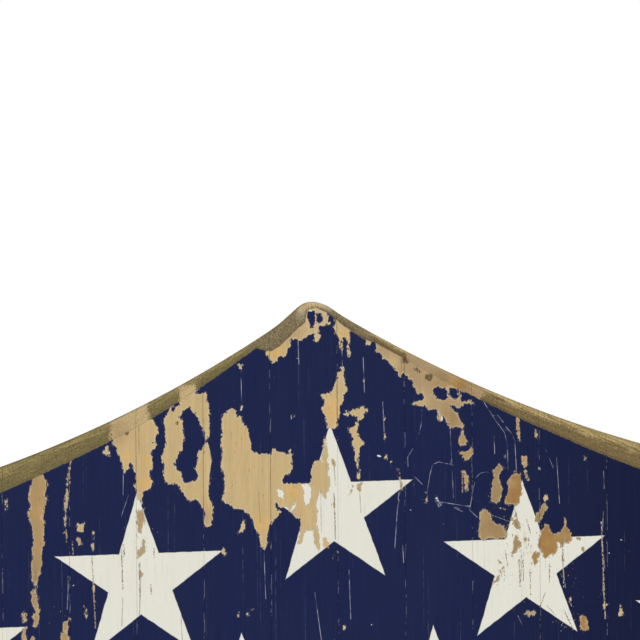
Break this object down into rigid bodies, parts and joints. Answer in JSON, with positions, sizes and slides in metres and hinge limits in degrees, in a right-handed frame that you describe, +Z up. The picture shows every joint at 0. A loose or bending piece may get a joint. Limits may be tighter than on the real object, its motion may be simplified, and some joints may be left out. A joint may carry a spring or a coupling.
{
  "type": "painted wooden shield wall panel",
  "caption": "Shield-shaped wall panel of upright tongue-and-groove boards with a raised peak, bevelled edge, back battens and swinging D-ring hangers; painted stars and stripes.",
  "frame": {"origin": "in the wall plane, at the middle of the top batten's back face, on the shield's centre line midway between the two hangers", "axes": "+Y goes into the wall, +X is to the right of a viewer in front, +Z is up along the shield's centre line"},
  "size_m": [1.2574, 0.045, 1.448],
  "materials": {
    "painted_boards": "old navy, white and red paint, cracked and flaked to bare wood, with a bare weathered bevel",
    "batten_wood": "aged unfinished softwood",
    "screw_steel": "dull, slightly rusted steel",
    "hanger_steel": "zinc-plated steel"
  },
  "bodies": {
    "panel": {"board_01": "painted_boards", "board_02": "painted_boards", "board_03": "painted_boards", "board_04": "painted_boards", "board_05": "painted_boards", "board_06": "painted_boards", "board_07": "painted_boards", "board_08": "painted_boards", "board_09": "painted_boards", "board_10": "painted_boards", "board_11": "painted_boards", "board_12": "painted_boards", "board_13": "painted_boards", "board_14": "painted_boards", "board_15": "painted_boards", "board_16": "painted_boards", "board_17": "painted_boards", "board_18": "painted_boards", "board_19": "painted_boards", "board_20": "painted_boards", "board_21": "painted_boards", "board_22": "painted_boards", "batten_top": "batten_wood", "batten_middle": "batten_wood", "batten_bottom": "batten_wood", "batten_top_screws": "screw_steel", "batten_middle_screws": "screw_steel", "batten_bottom_screws": "screw_steel", "hanger_strap_left": "hanger_steel", "hanger_strap_right": "hanger_steel", "hanger_screws": "screw_steel"},
    "ring_left": {"hanger_ring_left": "hanger_steel"},
    "ring_right": {"hanger_ring_right": "hanger_steel"}
  },
  "joints": [
    {"name": "ring_left_swing", "type": "hinge", "parent": "panel", "child": "ring_left", "pos_m": [-0.38, -0.0211, -0.0795], "axis": [1, 0, 0], "range_deg": [0, 180]},
    {"name": "ring_right_swing", "type": "hinge", "parent": "panel", "child": "ring_right", "pos_m": [0.38, -0.0211, -0.0795], "axis": [1, 0, 0], "range_deg": [0, 180]}
  ]
}
